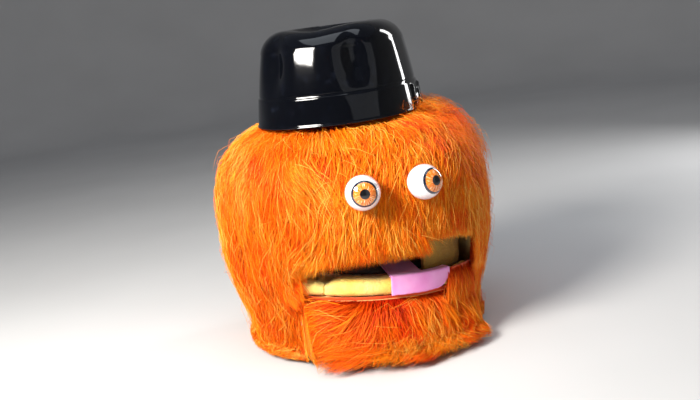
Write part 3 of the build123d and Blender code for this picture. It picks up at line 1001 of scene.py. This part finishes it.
def lip_shape(point):
    """A hand-cut lip: pinched at the seam, bulging in front, with a top edge that wanders."""
    radius, azimuth, height = polar(point)
    pinch = 2.718 ** (-(((azimuth - LIP_SEAM) * 0.12 / 0.006) ** 2))
    crown = 1 - ((height - LIP_MIDDLE) / (LIP_HIGH.z - LIP_MIDDLE)) ** 2
    outside = max(0.0, (radius - 0.118) / 0.008)
    radius += outside * (0.0022 * max(0.0, crown) - 0.0030 * pinch)
    wander = noise.noise(Vector((azimuth * 7, 0.3, 0.7))) * 0.0018
    upper = max(0.0, (height - LIP_MIDDLE) / (LIP_HIGH.z - LIP_MIDDLE))
    height += upper * (wander - 0.0042 * pinch)
    return from_polar(radius, azimuth, height)


TONGUE_LOW, TONGUE_HIGH = level_box("tongue")
TONGUE_END = radians(28.0)


def tongue_shape(point):
    """Rounds the free end of the hanging fold and curls it slightly, and lets its hem wander."""
    radius, azimuth, height = polar(point)
    if radius < 0.112:
        return point
    fall = (TONGUE_HIGH.z - height) / (TONGUE_HIGH.z - TONGUE_LOW.z)
    middle_share = 2 * fall - 0.95
    room = max(0.0, (azimuth - radians(14.0)) / (TONGUE_END - radians(14.0)))
    azimuth -= room**2 * radians(4.2) * abs(middle_share) ** 2.2
    curl = noise.noise(Vector((azimuth * 5, height * 30, 0.2))) * 0.0009
    radius += curl + 0.0016 * fall**2 * (1 - room)
    wander = noise.noise(Vector((azimuth * 14, 1.7, 0.2))) * 0.0006 * fall
    height += 0.0026 * room**2 * max(0.0, fall) + wander
    return from_polar(radius, azimuth, height)


def cheek_shape(point):
    """A cheek strip bends and bulges unevenly between the lip and the upper lining."""
    radius, azimuth, height = polar(point)
    radius += noise.noise(Vector((azimuth * 6, height * 40, 3.1))) * 0.0009
    return from_polar(radius, azimuth, height)


def plug_shape(point):
    """The slab is squeezed into the hat, clear of its wall."""
    return Vector((point.x * 0.975, AXIS_Y + (point.y - AXIS_Y) * 0.975, point.z + 0.0004))


def soft_pieces():
    for side in ("left", "right"):
        soft("lip_foam_" + side, LIP_FOAM, "lip_foam", 0.0013, (0.0005, 0.006), fill=0.8,
             change=rolled_with_mouth(lip_shape))
        soft("cheek_foam_" + side, CHEEK_FOAM_PAINTED_SHADE, "foam", 0.0010, (0.0003, 0.008), fill=0.8,
             change=rolled_with_mouth(cheek_shape))
        soft("side_foam_" + side, HEAD_FOAM_PAINTED_SHADE, "foam", 0.0032, (0.0008, 0.014), fill=0.9)
        soft("eye_pad_" + side, BLACK_FELT, "black_felt", 0.0008, (0.0002, 0.003), fill=0.9, smooth=2)
    soft("jaw_foam", HEAD_FOAM_PAINTED_SHADE, "foam", 0.0022, (0.0007, 0.012), fill=0.9)
    for node in ("face_foam", "back_foam", "crown_foam"):
        soft(node, HEAD_FOAM_PAINTED_SHADE, "foam", 0.0032, (0.0008, 0.014), fill=0.9)
    soft("hat_plug", HEAD_FOAM_PAINTED_SHADE, "foam", 0.0032, fill=0.9, change=plug_shape)
    soft("tongue", CRAFT_FOAM, "tongue_foam", 0.0008, change=rolled_with_mouth(tongue_shape), smooth=3,
         name="tongue_flap", fill=0.9)
    for node in ("upper_mouth_felt", "lower_mouth_felt"):
        soft(node, BLACK_FELT, "black_felt", 0.0013, (0.0002, 0.005), smooth=2, fill=0.9)
    for node in ("finger_strap", "thumb_strap"):
        soft(node, ELASTIC, "elastic", 0.0006, smooth=2, fill=0.9)


# ---- Hat: a vacuum-formed crown with a centre dent, two front pinches, a band and a bow ----

HAT_FLOOR, HAT_TOP = HAT_LOW.z, HAT_HIGH.z
SHOULDER_SIDE, SHOULDER_FRONT = 0.0675, 0.0815
HAT_ROUND = 0.020
BAND_HIGH = HAT_FLOOR + 0.0285
COLUMNS = 360
HAT_POWER = 2.25  # of the oval: 2 is an ellipse, and more is squarer
PINCHES = ((-0.50, 0.155), (0.50, 0.150))  # angle from the hat's front, and width, in radians
PINCH_RISE, PINCH_DEEP, DENT_DEEP = 0.060, 0.0085, 0.0125
BOW_AT, BOW_R = radians(93), 0.093


def bow(around, height):
    """How far a flat bow stands out of the band: a knot with a loop on each side."""
    across = np.abs(around)
    middle = (HAT_FLOOR + BAND_HIGH) / 2 - 0.001
    half = 0.0065 + 0.0055 * np.clip((across - 0.004) / 0.016, 0, 1)
    loop = step(across, 0.0045, 0.0022) * (1 - step(across, 0.0215, 0.002))
    inside = 1 - step(np.abs(height - middle), half, 0.0022)
    hollow = 0.5 * bump_at(across, 0.014, 0.005) * bump_at(height, middle, 0.005)
    knot = (1 - step(across, 0.0040, 0.0018)) * (1 - step(np.abs(height - middle), 0.0078, 0.002))
    return 0.0024 * inside * loop * (1 - hollow) + 0.0032 * knot


def hat_rows():
    """Rows of (share of the way up, share of the way in) from the rim to the middle of the top."""
    low = np.linspace(0, 0.36, 34)[:-1]
    high = np.linspace(0.36, 1, 34)[:-1]
    wall = [(share, 0.0) for share in np.concatenate([low, high])]
    turn = [(1.0 + k / 9, 0.0) for k in range(10)]
    top = [(2.0, share) for share in np.linspace(0, 1, 26)[1:]]
    return wall + turn + top


def hat_point(row, theta):
    """Points of one row of the hat, at angles from its own front."""
    up, inward = row
    straight_high = HAT_TOP - HAT_ROUND
    climb = min(up, 1.0) * (straight_high - HAT_FLOOR)
    corner = np.clip(up - 1.0, 0, 1) * pi / 2
    height = HAT_FLOOR + climb + HAT_ROUND * sin(corner)
    share = (height - HAT_FLOOR) / (HAT_TOP - HAT_FLOOR)
    side = HAT_SIDE + (SHOULDER_SIDE - HAT_SIDE) * share - HAT_ROUND * (1 - cos(corner))
    front = HAT_FRONT + (SHOULDER_FRONT - HAT_FRONT) * share - HAT_ROUND * (1 - cos(corner))
    oval = np.abs(np.sin(theta) / side) ** HAT_POWER + np.abs(np.cos(theta) / front) ** HAT_POWER
    oval = oval ** (-1 / HAT_POWER)
    bulge = 0.0016 * sin(pi * min(1.0, share))
    out = oval + bulge * (1 - inward)
    out = out * (1 - inward)
    if up < 1.0:
        band = 0.0009 * (1 - step(height, BAND_HIGH, 0.0014))
        out += band - 0.0007 * bump_at(height, BAND_HIGH + 0.0006, 0.0010)
        out += 0.0008 * (1 - step(height, HAT_FLOOR + 0.0018, 0.0016))
        out += bow((theta - BOW_AT) * BOW_R, height) * (height < BAND_HIGH + 0.004)
        out += 0.0007 * np.sin(theta * 9 + 1) * np.sin(theta * 4) * share
    for centre, reach in PINCHES:
        pinch = bump_at(theta, centre, reach) * bump_at(height, HAT_FLOOR + PINCH_RISE, 0.024)
        out -= PINCH_DEEP * pinch * (1 - inward)
    x, y = out * np.sin(theta), -out * np.cos(theta)
    hollow = np.clip(1 - (x / 0.041) ** 2 - ((y - 0.004) / 0.066) ** 2, 0, 1)
    rim_sag = 0.0035 * bump_at(theta, 0.0, 0.42) * (corner > 0) * sin(corner)
    height = height - rim_sag * (1 - inward) ** 2 - DENT_DEEP * hollow**0.8 * (up >= 2.0)
    turn = HAT_TURN
    points = np.stack([x * cos(turn) - y * sin(turn), AXIS_Y + x * sin(turn) + y * cos(turn)], axis=-1)
    return np.concatenate([points, np.broadcast_to(height, theta.shape)[:, None]], axis=1)


def hat():
    theta = np.linspace(-pi, pi, COLUMNS + 1)[:-1]
    rows = hat_rows()
    points = [hat_point(row, theta) for row in rows[:-1]]
    points.append(hat_point(rows[-1], theta[:1]))
    count = len(rows) - 1
    faces = grid_faces(count, COLUMNS, wrap=True)
    tip = count * COLUMNS
    last = (count - 1) * COLUMNS
    faces += [(last + c, last + (c + 1) % COLUMNS, tip) for c in range(COLUMNS)]
    mesh = mesh_of("hat_crown", np.concatenate(points), faces)
    piece = link("hat_crown", mesh, HAT_PLASTIC, "head", "hat_plastic")
    shell = piece.modifiers.new("wall", "SOLIDIFY")
    shell.thickness = 0.0012
    shell.offset = -1.0
    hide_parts("hat_shell")


# ---- Eyes: hollow balls moulded in two halves, each looking its own way ----

GAZE = {"right": (-9.6, 5.1), "left": (22.0, 8.2)}  # azimuth and elevation, degrees


def eye(side):
    rings, around = 60, 96
    angle = np.linspace(0, pi, rings)
    seam = -0.00016 * bump_at(angle, 1.75, 0.012)
    front = 0.00030 * (1 - step(angle, 0.80, 0.10))  # the printed disc stands a little proud
    radius = EYE_R + seam + front
    turn = np.linspace(0, 2 * pi, around + 1)[:-1]
    inner = slice(1, rings - 1)
    rho, z = radius * np.sin(angle), radius * np.cos(angle)
    grid = np.stack([rho[inner, None] * np.cos(turn), rho[inner, None] * np.sin(turn),
                     np.broadcast_to(z[inner, None], (rings - 2, around))], axis=-1)
    points = np.concatenate([grid.reshape(-1, 3), [[0, 0, z[0]], [0, 0, z[-1]]]])
    faces = grid_faces(rings - 2, around, wrap=True)
    top, bottom, last = (rings - 2) * around, (rings - 2) * around + 1, (rings - 3) * around
    faces += [(top, (c + 1) % around, c) for c in range(around)]
    faces += [(bottom, last + c, last + (c + 1) % around) for c in range(around)]
    mesh = facing_out(mesh_of("eye_" + side, points, faces))
    ball = add("eye_" + side, mesh)
    mesh.materials.append(EYE_PRINT)
    shade_smooth(mesh)
    azimuth, elevation = (radians(a) for a in GAZE[side])
    gaze = Vector((sin(azimuth) * cos(elevation), -cos(azimuth) * cos(elevation), sin(elevation)))
    ball.rotation_mode = "QUATERNION"
    ball.rotation_quaternion = gaze.to_track_quat("Z", "Y")
    ball.location = EYES[side]
    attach(ball, "head")
    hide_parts("eyeball_" + side)


# ---- Hard parts that keep their CAD shape ----


def paint(material, *nodes):
    for node in nodes:
        mesh = frame["nodes"][node].data
        mesh.materials.clear()
        mesh.materials.append(material)


def hard_parts():
    paint(WOOD, "upper_mouth_board", "lower_mouth_board")
    paint(STEEL, "hinge_leaf_upper", "hinge_leaf_lower", "hinge_pin")
    paint(ALUMINIUM, "hinge_rivets_upper", "hinge_rivets_lower")


head_cloth()
jaw_cloth()
soft_pieces()
hat()
for which in EYES:
    eye(which)
hard_parts()


# ---- Stage, lights and camera ----


def studio():
    """A round pale floor that curves up into a wall far behind the camera, so that no edge shows."""
    corner, reach, rise = 1.2, 3.6, 3.2
    turn = np.linspace(0, pi / 2, 16)
    profile = [(0.001, 0.0), (0.6, 0.0), (1.6, 0.0)]
    profile += [(reach - corner + corner * sin(t), corner * (1 - cos(t))) for t in turn] + [(reach, rise)]
    around = np.linspace(0, 2 * pi, 97)[:-1]
    points = np.concatenate([place(radius, around, TABLE + height) for radius, height in profile])
    mesh = mesh_of("studio_floor", points, grid_faces(len(profile), len(around), wrap=True))
    piece = add("studio_floor", mesh)
    shade_smooth(mesh)
    s = Shader("floor_pale", roughness=0.8, Specular_IOR_Level=0.2)
    s.colour(s.ramp(s.noise(3.0, detail=2.0), (0.3, (0.56, 0.56, 0.56)), (0.7, (0.60, 0.60, 0.60))))
    mesh.materials.append(s.material)


def area_light(name, position, target, size, power, colour=(1, 1, 1)):
    data = bpy.data.lights.new(name, "AREA")
    data.shape = "RECTANGLE"
    data.size, data.size_y = size
    data.energy = power
    data.color = colour
    lamp = add(name, data)
    lamp.location = position
    lamp.rotation_mode = "QUATERNION"
    lamp.rotation_quaternion = (Vector(target) - Vector(position)).to_track_quat("-Z", "Y")


def around_head(azimuth, elevation, distance, height=0.14):
    """A point round the head, at a camera's azimuth and elevation in degrees."""
    a, e = radians(azimuth), radians(elevation)
    level = cos(e) * distance
    return Vector((sin(a) * level, AXIS_Y - cos(a) * level, height + sin(e) * distance))


def light():
    aim = (0, AXIS_Y, 0.15)
    area_light("key", around_head(-58, 33, 1.15), aim, (0.40, 0.40), 30, (1.0, 0.96, 0.90))
    area_light("fill", around_head(25, 12, 1.5), aim, (1.2, 0.9), 1.3, (0.92, 0.95, 1.0))
    area_light("top", around_head(-20, 76, 1.2), aim, (0.9, 0.9), 5.0, (0.85, 0.92, 1.0))
    area_light("rim", around_head(112, 16, 1.2, 0.25), (0, AXIS_Y, 0.28), (0.16, 0.8), 5.0)
    world = bpy.data.worlds.new("studio")
    bpy.context.scene.world = world
    world.use_nodes = True
    back = world.node_tree.nodes["Background"]
    back.inputs["Color"].default_value = (0.80, 0.86, 1.0, 1.0)
    back.inputs["Strength"].default_value = 0.15


def camera():
    data = bpy.data.cameras.new("camera")
    data.sensor_width = 36.0
    data.lens = 48.1
    lens = add("camera", data)
    lens.location = around_head(CAMERA_AZIMUTH, CAMERA_ELEVATION, CAMERA_DISTANCE, AIM.z)
    look = (AIM - lens.location).to_track_quat("-Z", "Y")
    lens.rotation_mode = "QUATERNION"
    lens.rotation_quaternion = look @ Matrix.Rotation(radians(CAMERA_ROLL), 4, "Z").to_quaternion()
    bpy.context.scene.camera = lens


CAMERA_AZIMUTH = -15.5
CAMERA_ELEVATION = 11.0
CAMERA_DISTANCE = 1.0
CAMERA_ROLL = -7.3
AIM = Vector((-0.0025, AXIS_Y, 0.139))

studio()
light()
camera()
bpy.context.scene.view_settings.view_transform = "Standard"
